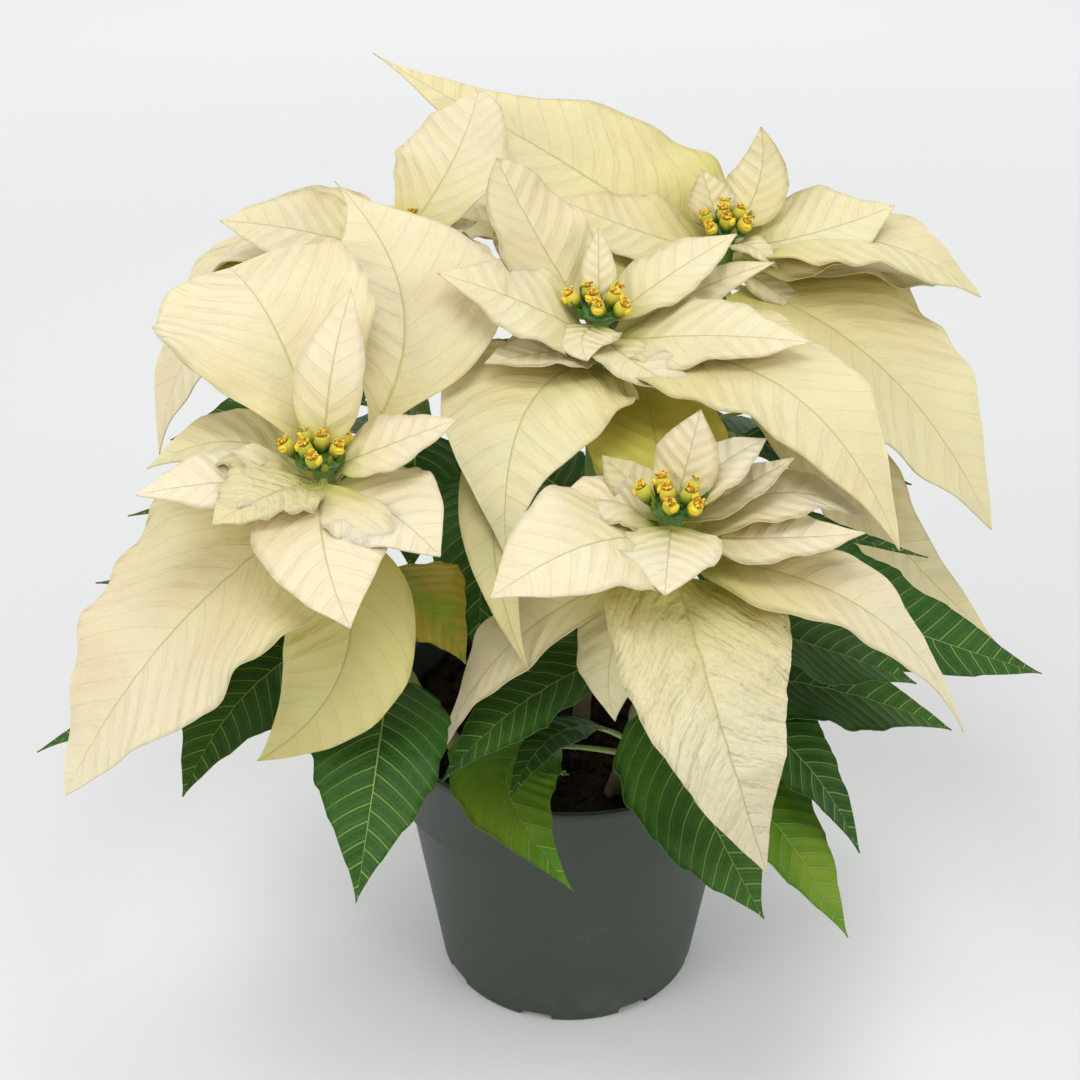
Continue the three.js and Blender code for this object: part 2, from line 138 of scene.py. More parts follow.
# Bracts from the topmost down: the tip's offset from the bloom's middle (right, back, up), how far
# the midrib arches up and sways to its right, the width, the roll in degrees, and for some a taper
# and a fullness of their own.
BRACTS = {
    "a": [
        ((11, 40, 45), 8, 0, 27, 0),
        ((50, 5, 10), 2, 3, 26, 20),
        ((15, -70, -30), 5, 5, 50, 0),
        ((-35, -35, -10), 3, 0, 38, -5),
        ((45, -40, -20), 5, 0, 46, 10),
        ((-65, -15, -10), 5, -2, 36, -10),
        ((-1, 118, 54), 0, 28, 80, 0, 2.3, 2.9),
        ((-40, 85, 32), 20, 0, 84, -8, 0.6, 1.3),
        ((-66, 14, -16), 12, 10, 46, 0),
        ((-95, -55, -115), 12, 2, 106, 0, 0.95, 0.42),
        ((-25, -45, -107), 5, -27, 48, -30),
    ],
    "b": [
        ((10, 20, 25), 0, 0, 26, 0),
        ((35, 25, 10), 5, 0, 26, 0),
        ((-5, -45, -12), 2, 0, 38, 0),
        ((45, 20, 5), 0, 0, 22, 0),
        ((-25, 30, 0), 2, 0, 24, 0),
        ((-45, 0, -8), 8, 4, 34, 0),
        ((70, 0, -15), 2, 5, 34, 0),
        ((-65, -50, -10), 12, -3, 56, -15),
        ((-8, 92, 0), 8, 0, 54, 0, 0.8),
        ((75, 25, -25), 16, -3, 40, 0),
        ((35, -60, -125), 34, 18, 68, 0, 1.2, 0.3),
        ((110, -20, -90), 26, 4, 52, 0, 1.2, 0.45),
        ((-20, -20, -85), 15, 2, 34, 0),
        ((-85, -10, -107), 18, -2, 44, 0, 1.2),
    ],
    "c": [
        ((0, 25, 20), 0, 0, 14, 0),
        ((-5, -30, -10), 2, 4, 30, 0),
        ((55, 30, 15), 2, 0, 30, 10),
        ((-40, 35, 45), -2, 0, 48, 0, 0.8),
        ((40, -55, -15), 4, 7, 28, 0),
        ((-62, -12, 18), 5, -6, 44, -20),
        ((80, -25, -5), 6, 5, 44, 10),
        ((-44, -34, -9), 3, -3, 34, 0),
        ((70, 25, 5), 4, -2, 22, 20),
        ((-35, -95, -60), 20, 10, 76, 0, 1.45, 0.55),
        ((110, -85, -60), 30, -8, 74, 0, 1.1, 0.5),
        ((-27, -125, -86), 14, 24, 30, 0, 1.2),
    ],
    "d": [
        ((15, 30, 30), -4, 5, 28, 0),
        ((-10, 20, 15), 0, 0, 24, 0),
        ((20, -20, -12), 6, 2, 16, 0),
        ((70, 5, 5), 0, 5, 50, 20),
        ((-70, 0, 10), 0, -4, 42, -20),
        ((35, -30, -30), 2, 2, 20, 0),
        ((105, -20, -25), 18, -2, 60, 0, 0.9),
        ((-150, 60, 48), 4, 2, 94, -16, 1.6, 0.35),
        ((25, 85, -45), 12, 0, 54, 0),
        ((120, 52, -60), 17, 0, 84, 0, 0.95),
        ((105, -90, -95), 27, 5, 92, 0, 1.05, 0.55),
        ((115, -78, -158), 0, 15, 60, 0, 1.2),
    ],
    "e": [
        ((35, 5, 0), 3, 3, 22, 10),
        ((35, 50, 40), 4, 8, 50, 0, 0.8),
        ((45, -25, -15), 6, 0, 36, 0),
        ((-70, -5, 5), 5, -4, 42, -25),
        ((10, 75, -50), 12, 0, 44, 0),
        ((-60, 20, 0), 7, 2, 36, -20),
        ((-65, 70, -60), 15, 0, 62, 0),
        ((-98, -40, -85), 30, 10, 76, 0, 1.2),
        ((-100, 20, -60), 30, 0, 56, 0),
    ],
    "f": [
        ((-20, -75, -10), 8, 0, 48, 0),
        ((45, 15, 5), 6, 0, 30, 0),
        ((-45, 15, 5), 6, 0, 30, 0),
        ((20, 60, 5), 8, 0, 38, 0),
        ((-25, 60, 0), 9, 0, 40, 0),
        ((85, 20, -20), 10, 0, 50, 0),
        ((-90, 15, -25), 10, 0, 50, 0),
        ((-5, 120, -50), 25, 0, 74, 0),
        ((80, 85, -40), 24, 0, 66, 0),
        ((-90, 75, -45), 22, 0, 70, 0),
    ],
}

# Leaves: the height at which each is rooted on its cane, the tip (right, back, up from the pot's
# foot), then arch, sway, width and roll as for the bracts.
LEAVES = {
    "a": [
        (262, (-41, -112, 238), 12, 0, 42, 0),
        (250, (-185, -75, 250), 2, 2, 24, 0),
        (235, (-145, -150, 205), 10, 8, 52, 0),
        (225, (-215, -85, 175), 10, -3, 30, 0),
        (215, (-80, -180, 180), 22, -4, 52, 0),
        (198, (-155, -50, 200), 15, 0, 44, 0),
    ],
    "b": [
        (255, (132, -100, 220), 4, 0, 54, 0),
        (235, (-50, -135, 200), 13, -1, 38, 0),
        (225, (70, -172, 165), 18, 12, 58, 0),
        (218, (150, -90, 190), 8, -1, 58, 0),
        (215, (110, -135, 165), 16, -4, 38, 0),
        (190, (105, -155, 140), 17, 1, 44, 0),
        (170, (-25, -135, 190), 14, 8, 20, 0),
        (160, (0, -140, 150), 20, 38, 48, 0),
    ],
    "c": [
        (285, (135, -80, 265), 0, 9, 20, 0),
        (250, (195, -45, 185), 8, 20, 58, 20),
        (250, (-35, -100, 228), 33, 13, 56, 0),
        (200, (-35, -108, 200), 4, -13, 30, 0),
        (238, (-38, 62, 228), 8, 0, 46, 0),
        (286, (-42, 20, 342), 8, 0, 34, 0),
    ],
    "d": [
        (250, (148, 32, 230), 0, 2, 40, 0),
        (250, (170, 90, 205), 20, 0, 48, 0),
        (228, (125, 150, 165), 20, 0, 50, 0),
        (205, (155, 15, 160), 20, 0, 46, 0),
    ],
    "e": [
        (270, (-160, -25, 285), 16, -13, 38, 0),
        (255, (-170, 80, 215), 20, 0, 48, 0),
        (250, (-175, -50, 265), 7, -17, 28, 0),
        (232, (-125, 150, 175), 20, 0, 50, 0),
        (208, (-170, 15, 150), 25, 0, 48, 0),
        (262, (-66, -30, 226), 8, 0, 44, 0),
    ],
    "f": [
        (262, (-20, 255, 205), 25, 0, 52, 0),
        (240, (80, 235, 190), 25, 0, 50, 0),
        (225, (-95, 215, 170), 25, 0, 52, 0),
        (205, (10, 260, 140), 25, 0, 48, 0),
        (185, (100, 185, 125), 18, 0, 44, 0),
        (182, (-105, 160, 125), 18, 0, 44, 0),
    ],
}

# What sets some blades apart: yellow, from 0 to a little over 1, is how young it looks, and on the
# bracts that lie in shade it is painted shade too; crinkle is how far it bulges between its veins,
# ruffle is how deep the frill of its edge is, and curl is how far its tip turns up.
BLOOM_YELLOW = {"a": 0.0, "b": 0.03, "c": 0.15, "d": 0.28, "e": 0.08, "f": 0.18}
BRACT_LOOKS = {
    ("a", 3): {"yellow": 0.3, "crinkle": 0.6, "ruffle": 3},
    ("a", 6): {"yellow": 0.1},
    ("a", 7): {"yellow": 0.12},
    ("a", 8): {"yellow": 0.3},
    ("a", 10): {"yellow": 0.7},
    ("b", 4): {"yellow": 0.4},
    ("b", 8): {"yellow": 1.15},
    ("b", 10): {"yellow": 0.05, "crinkle": 1.4},
    ("b", 12): {"yellow": 0.3},
    ("b", 13): {"yellow": 0.1},
    ("c", 9): {"yellow": 0.3},
    ("c", 10): {"yellow": 0.22},
    ("c", 11): {"yellow": 0.55},
    ("d", 3): {"yellow": 0.28},
    ("d", 6): {"yellow": 0.28},
    ("d", 7): {"yellow": 0.3, "curl": 4},
    ("d", 11): {"yellow": 0.3},
}
LEAF_LOOKS = {
    ("a", 0): {"yellow": 1.0, "crinkle": 0.2},
    ("b", 5): {"yellow": 0.75, "crinkle": 0.25},
    ("b", 7): {"yellow": 0.8, "crinkle": 0.25},
}


# ---- Meshes ----

class Piece:
    """Collects surfaces for one mesh, with the blade coordinates and tints that its materials read."""

    def __init__(self):
        self.points, self.faces, self.slots = [], [], []
        self.rib, self.form, self.tint = [], [], []
        self.count = 0

    def add(self, points, faces, slot=0, rib=None, form=None, tint=None):
        points = np.asarray(points, float).reshape(-1, 3)
        size = len(points)
        self.points.append(points)
        self.faces.extend([tuple(corner + self.count for corner in face) for face in faces])
        self.slots.extend([slot] * len(faces))
        self.rib.append(np.zeros((size, 2)) if rib is None else rib.reshape(-1, 2))
        self.form.append(np.zeros((size, 2)) if form is None else form.reshape(-1, 2))
        self.tint.append(np.zeros((size, 4)) if tint is None else tint.reshape(-1, 4))
        self.count += size

    def make(self, name, node, materials):
        mesh = bpy.data.meshes.new(name)
        mesh.from_pydata((np.concatenate(self.points) * MM).tolist(), [], self.faces)
        corners = np.empty(len(mesh.loops), int)
        mesh.loops.foreach_get("vertex_index", corners)
        for layer, values in (("rib", self.rib), ("form", self.form)):
            mesh.uv_layers.new(name=layer).data.foreach_set("uv", np.concatenate(values)[corners].ravel())
        colours = mesh.color_attributes.new("tint", "FLOAT_COLOR", "POINT")
        colours.data.foreach_set("color", np.concatenate(self.tint).ravel())
        mesh.polygons.foreach_set("material_index", self.slots)
        mesh.polygons.foreach_set("use_smooth", [True] * len(self.faces))
        mesh.update()
        for material in materials:
            mesh.materials.append(material)
        piece = bpy.data.objects.new(name, mesh)
        bpy.context.scene.collection.objects.link(piece)
        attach(piece, "root")
        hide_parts(node)
        return piece


def unit(vector):
    return vector / np.linalg.norm(vector, axis=-1, keepdims=True)


def bent_line(s, start, control, end):
    """Points of a curve that leaves its start towards the control point and comes to its end."""
    return (1 - s) ** 2 * start + 2 * s * (1 - s) * control + s**2 * end


def grid_faces(rows, columns, around=False, start=0, flip=False):
    """Quads of a grid of points, joined round each row or left open."""
    row = np.arange(rows - 1)[:, None] * columns
    column = np.arange(columns if around else columns - 1)[None, :]
    following = (column + 1) % columns
    corners = [row + column, row + following, row + columns + following, row + columns + column]
    faces = np.stack(corners, -1).reshape(-1, 4) + start
    return (faces[:, ::-1] if flip else faces).tolist()


def skin_faces(rows, columns):
    """Faces of a closed skin over rings of points."""
    faces = grid_faces(rows, columns, around=True)
    faces.append(tuple(range(columns))[::-1])
    faces.append(tuple(range((rows - 1) * columns, rows * columns)))
    return faces


def add_rings(piece, rings, slot=0, **marks):
    """A closed skin over rings of points, from the bottom or inner end to the top or outer one."""
    piece.add(rings, skin_faces(*rings.shape[:2]), slot, **marks)


def tube_rings(path, radii, sides):
    """Rings of points round a path."""
    path = np.asarray(path, float)
    along = unit(np.gradient(path, axis=0))
    least = np.argmin(np.abs(along.mean(axis=0)))
    side = unit(np.cross(along, np.eye(3)[least]))
    other = np.cross(along, side)
    angle = np.linspace(0, 2 * math.pi, sides, endpoint=False)[None, :, None]
    radii = np.broadcast_to(radii, len(path))[:, None, None]
    return path[:, None] + radii * (np.cos(angle) * side[:, None] + np.sin(angle) * other[:, None])


def turned_rings(profile, sides):
    """Rings of points of an outline turned about the upright axis."""
    profile = np.asarray(profile, float)
    angle = np.linspace(0, 2 * math.pi, sides, endpoint=False)
    radius, height = profile[:, 0:1], profile[:, 1:2]
    level = np.broadcast_to(height, (len(profile), sides))
    return np.stack([radius * np.cos(angle), radius * np.sin(angle), level], -1)


def ripple_of(seed, waves=4):
    """A smooth wandering line between about -1 and 1, the same for the same seed."""
    chance = np.random.default_rng(seed)
    phases = chance.uniform(0, 2 * math.pi, waves)
    sizes = 1 / np.arange(1, waves + 1) ** 0.7
    turns = np.arange(1, waves + 1) + chance.uniform(-0.3, 0.3, waves)

    def line(share):
        total = sum(size * np.sin(2 * math.pi * turn * share + phase)
                    for size, turn, phase in zip(sizes, turns, phases))
        return total / sizes.sum()

    return line


def swell_of(seed, shortest, longest, waves=6):
    """Smooth hills and hollows over a sheet, between about -1 and 1, for a pair of coordinates."""
    chance = np.random.default_rng(seed)
    angle = chance.uniform(0, math.pi, waves)
    number = 2 * math.pi / chance.uniform(shortest, longest, waves)
    phase = chance.uniform(0, 2 * math.pi, waves)

    def height(x, y):
        return sum(np.sin(k * (x * math.cos(t) + y * math.sin(t)) + p)
                   for k, t, p in zip(number, angle, phase)) / math.sqrt(waves)

    return height


# ---- Canes ----

class Cane:
    """The curve of a cane from its foot in the soil to the middle of its bloom."""

    def __init__(self, root, bloom):
        self.foot = np.array([*root, SOIL_LEVEL - CANE_DEPTH], float)
        self.bloom = np.array(bloom, float)
        self.bend = self.foot + (self.bloom - self.foot) * CANE_LEAN
        self.bend[2] = SOIL_LEVEL + (self.bloom[2] - SOIL_LEVEL) * CANE_BEND

    def point(self, share):
        s = np.asarray(share, float)[..., None]
        return bent_line(s, self.foot, self.bend, self.bloom)

    def share_at(self, height):
        shares = np.linspace(0, 1, 2001)
        return float(np.interp(height, self.point(shares)[:, 2], shares))

    def at(self, height):
        return self.point(self.share_at(height))

    def stretch(self, start, end, step=CANE_STEP):
        count = max(4, int(np.linalg.norm(self.point(end) - self.point(start)) / step))
        return self.point(np.linspace(start, end, count))


# ---- Blades ----

def blade_frame(blade, share):
    """Points of the midrib, and the directions across and out of the face there."""
    base, tip = blade["base"], blade["tip"]
    chord = unit(tip - base)
    right = unit(np.cross(chord, UP))
    face = np.cross(right, chord)
    bow = face * blade["arch"] + right * blade["sway"]
    control = (base + tip) / 2 + 2 * bow
    hinge = unit(np.cross(bow, chord)) if np.linalg.norm(bow) > 0.5 else right
    s = share[:, None]
    point = bent_line(s, base, control, tip)
    tangent = unit((control - base) * (1 - s) + (tip - control) * s)
    normal = hinge * (face @ hinge) + np.cross(hinge, tangent) * (face @ np.cross(hinge, chord))
    side = np.cross(tangent, normal)
    turn = math.radians(blade["roll"])
    out = normal * math.cos(turn) + side * math.sin(turn)
    across = side * math.cos(turn) - normal * math.sin(turn)
    return point, across, out


def blade_width(share, stalk, taper, full):
    along = np.clip((share - stalk) / (1 - stalk), 0, 1)
    peak = full / (full + taper)
    return along**full * (1 - along) ** taper / (peak**full * (1 - peak) ** taper)


def add_blade(piece, blade, slot, stalk_slot):
    """A thin veined blade with waved edges, on a round stalk."""
    seed, width, stalk = blade["seed"], blade["width"], blade["stalk"]
    chance = np.random.default_rng(seed)
    length = np.linalg.norm(blade["tip"] - blade["base"])
    spacing = length / (LEAST_VEINS + length / blade["pitch"])
    rows = max(16, int(length / FINE_STEP)) + 1
    columns = 2 * max(5, int(width / FINE_STEP / 2)) + 1
    start = stalk * blade["stalk_part"]
    share = start + (1 - start) * np.linspace(0, 1, rows)
    spread = np.linspace(-1, 1, columns)
    q = (spread * (RIB_CROWD + (1 - RIB_CROWD) * np.abs(spread)))[None, :]
    point, across, out = blade_frame(blade, share)
    swelling = blade_width(share, stalk, blade["taper"], blade["full"])

    halves = []
    for side in (-1, 1):
        edge = 1 + EDGE_WOBBLE * ripple_of((seed, side + 1))(share * 2)
        if blade["teeth"]:
            turn = share * LEAF_TEETH + chance.uniform()
            ramp = turn - np.floor(turn)
            edge = edge + TOOTH_DEPTH * (np.minimum(ramp / 0.8, (1 - ramp) / 0.2) ** 1.3 - 0.4)
        least = 1.1 * (1 - share) + 0.12
        halves.append(np.maximum(swelling * width / 2 * edge, least))
    half = np.where(q < 0, halves[0][:, None], halves[1][:, None])

    s = share[:, None]
    x = half * q
    y = s * length
    swell = swelling[:, None]
    wander = 0.12 * swell_of((seed, 5), 30, 60)(x, y)
    rib_x = x / spacing
    rib_y = y / spacing + wander
    vein = rib_y - VEIN_SLANT * np.abs(rib_x) - VEIN_CURVE * rib_x**2 + VEIN_OFFSET * (q > 0)
    bulge = np.abs(np.sin(math.pi * vein)) ** 0.7 * np.minimum(1, np.abs(rib_x) * 2.5)

    wave = np.sin(2 * math.pi * RIPPLES * s + blade["phase"] + RIPPLE_SIDE * np.sign(q))
    lift = BLADE_CUP * half * (np.sqrt(q**2 + 0.01) - 0.1)
    lift = lift + BLADE_RIPPLE * width * wave * q**2 * swell
    ruffle = np.sin(2 * math.pi * RUFFLES * s + 2 * blade["phase"] + RUFFLE_SIDE * np.sign(q))
    lift = lift + EDGE_RUFFLE * blade["ruffle"] * width * ruffle * q**4 * swell
    lift = lift + 0.9 * swell_of((seed, 7), 22, 55)(x, y) * swell * np.abs(q)
    dimples = 0.45 * swell_of((seed, 8), 7, 15)(0.6 * x, y)
    lift = lift + blade["crinkle"] * (bulge - 0.5 + dimples) * swell
    lift = lift + blade["curl"] * np.clip((s - 0.75) / 0.25, 0, 1) ** 2

    on_rib = np.abs(q) < 1e-9
    centre = point[:, None] + across[:, None] * x[..., None]
    over = lift + BLADE_THICKNESS / 2 - 0.25 * on_rib
    under = lift - BLADE_THICKNESS / 2 - on_rib * 0.9 * (1 - s)
    points = np.stack([centre + out[:, None] * over[..., None], centre + out[:, None] * under[..., None]])
    size = rows * columns
    faces = grid_faces(rows, columns, flip=True) + grid_faces(rows, columns, start=size)
    for row in range(rows - 1):
        a, b = row * columns, (row + 1) * columns
        faces.append((a, b, b + size, a + size))
        c, d = a + columns - 1, b + columns - 1
        faces.append((d, c, c + size, d + size))
    last = (rows - 1) * columns
    for column in range(columns - 1):
        faces.append((column + 1, column, column + size, column + 1 + size))
        a = last + column
        faces.append((a, a + 1, a + 1 + size, a + size))
    rib = np.stack([np.broadcast_to(rib_x, (rows, columns)), rib_y], -1)
    form = np.stack(np.broadcast_arrays(s, (q + 1) / 2), -1)
    tint = np.zeros((2, rows, columns, 4))
    tint[..., 0] = chance.uniform()
    tint[..., 1] = blade["yellow"]
    tint[1, ..., 2] = 1
    tint[..., 3] = min(1, blade["crinkle"])
    piece.add(points, faces, slot, rib=np.stack([rib, rib]), form=np.stack([form, form]), tint=tint)

    reach = np.linspace(0, stalk * 1.25 + 0.02, 9)
    path, _, stalk_out = blade_frame(blade, reach)
    radii = STALK_RADIUS * blade["stalk_size"] * (1 - 0.45 * reach / reach[-1])
    add_rings(piece, tube_rings(path - stalk_out * radii[:, None] * 0.6, radii, 10), stalk_slot)


def bract_blades(cane, letter):
    for order, (offset, arch, sway, width, roll, *own) in enumerate(BRACTS[letter]):
        taper, full = [*own, *(BRACT_TAPER, BLADE_FULL)[len(own):]]
        tip = cane.bloom + np.array(offset, float)
        base = cane.at(cane.bloom[2] - BRACT_FIRST - BRACT_PITCH * order)
        heading = np.array([tip[0] - base[0], tip[1] - base[1], 0])
        base = base + unit(heading) * BASE_REACH
        look = BRACT_LOOKS.get((letter, order), {})
        yield {
            "base": base, "tip": tip, "arch": arch, "sway": sway, "width": width, "roll": roll,
            "taper": taper, "full": full, "stalk": BRACT_STALK, "stalk_part": 0,
            "stalk_size": 0.5 + min(width, 60) / 120, "teeth": False, "phase": RIPPLE_TURN * order,
            "crinkle": look.get("crinkle", 0.08 + width / 450), "curl": look.get("curl", 0),
            "yellow": look.get("yellow", BLOOM_YELLOW[letter]), "ruffle": look.get("ruffle", 1),
            "pitch": BRACT_VEIN_PITCH, "seed": (1, ord(letter), order),
        }


def leaf_blades(cane, letter):
    for order, (height, tip, arch, sway, width, roll) in enumerate(LEAVES[letter]):
        look = LEAF_LOOKS.get((letter, order), {})
        yield {
            "base": cane.at(height), "tip": np.array(tip, float), "arch": arch, "sway": sway,
            "width": width, "roll": roll, "taper": LEAF_TAPER, "full": BLADE_FULL,
            "stalk": LEAF_STALK, "stalk_part": 0.85, "stalk_size": 1, "teeth": True,
            "phase": RIPPLE_TURN * order,
            "crinkle": look.get("crinkle", 0.45), "curl": look.get("curl", 0),
            "yellow": look.get("yellow", 0), "ruffle": 1, "pitch": LEAF_VEIN_PITCH,
            "seed": (2, ord(letter), order),
        }


# ---- Cyathia ----

CUP_OUTLINE = [
    (0.0, 0.0), (0.34, 0.0), (0.42, 0.05), (0.55, 0.14), (0.78, 0.28), (0.96, 0.45), (1.0, 0.58),
    (0.95, 0.7), (0.84, 0.8), (0.74, 0.86), (0.66, 0.86), (0.6, 0.8), (0.0, 0.76),
]


def ball_rings(sizes, rows=9, sides=12):
    """Rings of an ellipsoid about the origin."""
    turn = np.linspace(0.02, math.pi - 0.02, rows)
    profile = np.stack([np.sin(turn), -np.cos(turn)], -1)
    return turned_rings(profile, sides) * np.asarray(sizes, float)


def add_cup(piece, placed, chance, size):
    """One cup with its two-lipped gland and its stamens; placed() puts it in the bloom."""
    outline = np.array(CUP_OUTLINE) * [CUP_RADIUS * size, CUP_HEIGHT * size]
    rings = turned_rings(outline, CUP_SIDES)
    flute = 1 + 0.04 * np.cos(5 * np.linspace(0, 2 * math.pi, CUP_SIDES, endpoint=False))
    rings[..., :2] *= flute[None, :, None]
    rise = np.clip(rings[..., 2] / (CUP_HEIGHT * size), 0, 1)
    tint = np.stack([rise, chance.uniform() + 0 * rise, 0 * rise, 1 + 0 * rise], -1)
    add_rings(piece, placed(rings), 0, tint=tint)

    gland = ball_rings((1.15, 2.2, 1.5), 13, 16) * size
    dent = np.exp(-((gland[..., 2] / (0.42 * size)) ** 2)) * np.clip(gland[..., 0], 0, None)
    gland[..., 0] -= 0.75 * dent
    gland[..., 0] += CUP_RADIUS * size * 0.95
    gland[..., 2] += CUP_HEIGHT * size * 0.73
    turn = chance.uniform(-1.3, 1.3)
    add_rings(piece, placed(turned_by(gland, turn)), 1)

    for stamen in range(STAMENS):
        angle = GOLDEN * stamen + turn
        lean = 0.35 + 0.75 * math.sqrt((stamen + 0.5) / STAMENS)
        height = CUP_HEIGHT * size
        foot = np.array([0.35 * math.cos(angle), 0.35 * math.sin(angle), height * 0.78])
        reach = chance.uniform(1.7, 3.0) * size
        way = np.array([math.cos(angle) * lean, math.sin(angle) * lean, 1.35])
        head = foot + unit(way) * reach
        middle = (foot + head) / 2 + np.array([0, 0, 0.35])
        s = np.linspace(0, 1, 6)[:, None]
        path = bent_line(s, foot, middle, head)
        add_rings(piece, placed(tube_rings(path, 0.2 * size, 6)), 2)
        for lobe in (-1, 1):
            ball = ball_rings((0.5, 0.42, 0.42), 6, 8) * size * chance.uniform(0.85, 1.25)
            ball[..., 0] += 0.36 * lobe
            ball = turned_by(ball, chance.uniform(0, math.pi)) + head
            add_rings(piece, placed(ball), 3 if chance.uniform() < 0.45 else 2)


def turned_by(points, angle):
    """The points turned about the upright axis."""
    c, s = math.cos(angle), math.sin(angle)
    return points @ np.array([[c, s, 0], [-s, c, 0], [0, 0, 1]])


def leaned_by(points, angle):
    """The points leaned from upright towards +X."""
    c, s = math.cos(angle), math.sin(angle)
    return points @ np.array([[c, 0, -s], [0, 1, 0], [s, 0, c]])


def add_cyathia(piece, cane, letter):
    """A cluster of cups on a green cushion, each tilted out from the middle of the bloom."""
    chance = np.random.default_rng(ord(letter))
    floor = cane.bloom - UP * (NECK_TOP - GAP)
    cushion = turned_rings([
        (0, 0), (CUSHION_RADIUS * 0.7, 0), (CUSHION_RADIUS * 0.92, CUSHION_HEIGHT * 0.2),
        (CUSHION_RADIUS, CUSHION_HEIGHT * 0.42), (CUSHION_RADIUS * 0.8, CUSHION_HEIGHT * 0.66),
        (CUSHION_RADIUS * 0.45, CUSHION_HEIGHT * 0.9), (0, CUSHION_HEIGHT),
    ], 40)
    rough = swell_of((ord(letter), 3), 4, 9)(cushion[..., 0], cushion[..., 1])
    cushion[..., :2] *= (1 + 0.05 * rough)[..., None]
    tint = np.zeros((*cushion.shape[:2], 4))
    add_rings(piece, cushion + floor, 0, tint=tint)
    for cup in range(CUP_COUNT):
        distance = CUP_SPREAD * math.sqrt(cup + 0.3)
        angle = GOLDEN * cup + cane.bloom[0]

        def placed(points, distance=distance, angle=angle):
            stood = leaned_by(points, math.radians(CUP_SPLAY * distance))
            return turned_by(stood + [distance * 0.85, 0, 0.8], angle) + floor

        add_cup(piece, placed, chance, chance.uniform(0.9, 1.04))
    for scale in range(SCALE_COUNT):
        angle = GOLDEN * scale * 1.7 + cane.bloom[0]
        distance = chance.uniform(0.45, 0.92) * CUSHION_RADIUS
        height = chance.uniform(2.5, 5.0)
        rings = ball_rings((0.8, 1.5, height), 9, 10)
        rings[..., :2] *= (1 - 0.35 * rings[..., 2:] / height)
        rings = leaned_by(rings + [0, 0, height * 0.7], math.radians(4 * distance))
        rings = turned_by(rings + [distance, 0, CUSHION_HEIGHT * 0.3], angle) + floor
        tint = np.full((*rings.shape[:2], 4), chance.uniform(0.15, 0.5))
        add_rings(piece, rings, 0, tint=tint)


# ---- Pot and soil ----

def pot_piece(materials):
    foot, neck = POT_FOOT_RADIUS - POT_WALL, POT_NECK_RADIUS - POT_WALL
    inner_rim = POT_RIM_RADIUS - POT_WALL - 1
    outline = [
        (0, 0), (POT_FOOT_RADIUS - 2, 0), (POT_FOOT_RADIUS - 0.7, 0.5), (POT_FOOT_RADIUS - 0.1, 1.4),
        (POT_FOOT_RADIUS + 0.1, 3), (POT_NECK_RADIUS - 0.4, COLLAR_BOTTOM - 4.5),
        (POT_NECK_RADIUS + 0.1, COLLAR_BOTTOM - 2.2), (POT_NECK_RADIUS + 1.4, COLLAR_BOTTOM - 1.3),
        (COLLAR_RADIUS - 1.4, COLLAR_BOTTOM - 0.6), (COLLAR_RADIUS - 0.2, COLLAR_BOTTOM + 0.2),
        (COLLAR_RADIUS + 0.05, COLLAR_BOTTOM + 1.4), (POT_RIM_RADIUS - 0.6, POT_HEIGHT - 4.6),
        (POT_RIM_RADIUS - 0.1, POT_HEIGHT - 3.6), (POT_RIM_RADIUS, POT_HEIGHT - 1.2),
        (POT_RIM_RADIUS - 0.4, POT_HEIGHT - 0.3), (POT_RIM_RADIUS - 1.2, POT_HEIGHT),
        (inner_rim + 0.4, POT_HEIGHT - 0.1), (inner_rim, POT_HEIGHT - 0.8),
        (COLLAR_RADIUS - POT_WALL, COLLAR_BOTTOM + 2), (neck, COLLAR_BOTTOM), (foot, POT_FLOOR + 1),
        (foot - 1, POT_FLOOR), (0, POT_FLOOR),
    ]
    piece = Piece()
    add_rings(piece, turned_rings([(max(r, 0.5), z) for r, z in outline], POT_SIDES))
    pot = piece.make("pot_shell", "pot", materials)

    cutter = Piece()
    half = NOTCH_WIDTH / 2
    corners = [(-NOTCH_REACH, -half), (NOTCH_REACH, -half), (NOTCH_REACH, half), (-NOTCH_REACH, half)]
    levels = [(-2, 1), (NOTCH_HEIGHT - 1.2, 1), (NOTCH_HEIGHT - 0.3, 0.93), (NOTCH_HEIGHT, 0.82)]
    for notch in range(NOTCH_COUNT):
        rings = np.array([[(x, y * narrow, z) for x, y in corners] for z, narrow in levels])
        rings[..., 0] += POT_FOOT_RADIUS
        turn = math.radians(NOTCH_TURN + 360 * notch / NOTCH_COUNT)
        add_rings(cutter, turned_by(rings, turn))
    mesh = bpy.data.meshes.new("notches")
    mesh.from_pydata((np.concatenate(cutter.points) * MM).tolist(), [], cutter.faces)
    notches = bpy.data.objects.new("notches", mesh)
    bpy.context.scene.collection.objects.link(notches)
    cut = pot.modifiers.new("notches", "BOOLEAN")
    cut.object, cut.operation, cut.solver = notches, "DIFFERENCE", "EXACT"
    with bpy.context.temp_override(object=pot, active_object=pot, selected_objects=[pot]):
        bpy.ops.object.modifier_apply(modifier=cut.name)
    bpy.data.objects.remove(notches)
    pot.data.set_sharp_from_angle(angle=math.radians(30))
    return pot


def crown_height(share):
    """Height of the soil at a share of the way out from its middle to the wall."""
    return SOIL_LEVEL + SOIL_CROWN * np.interp(share, [0, 0.4, 0.8, 1], [0.6, 0.2, 0.5, -0.25])


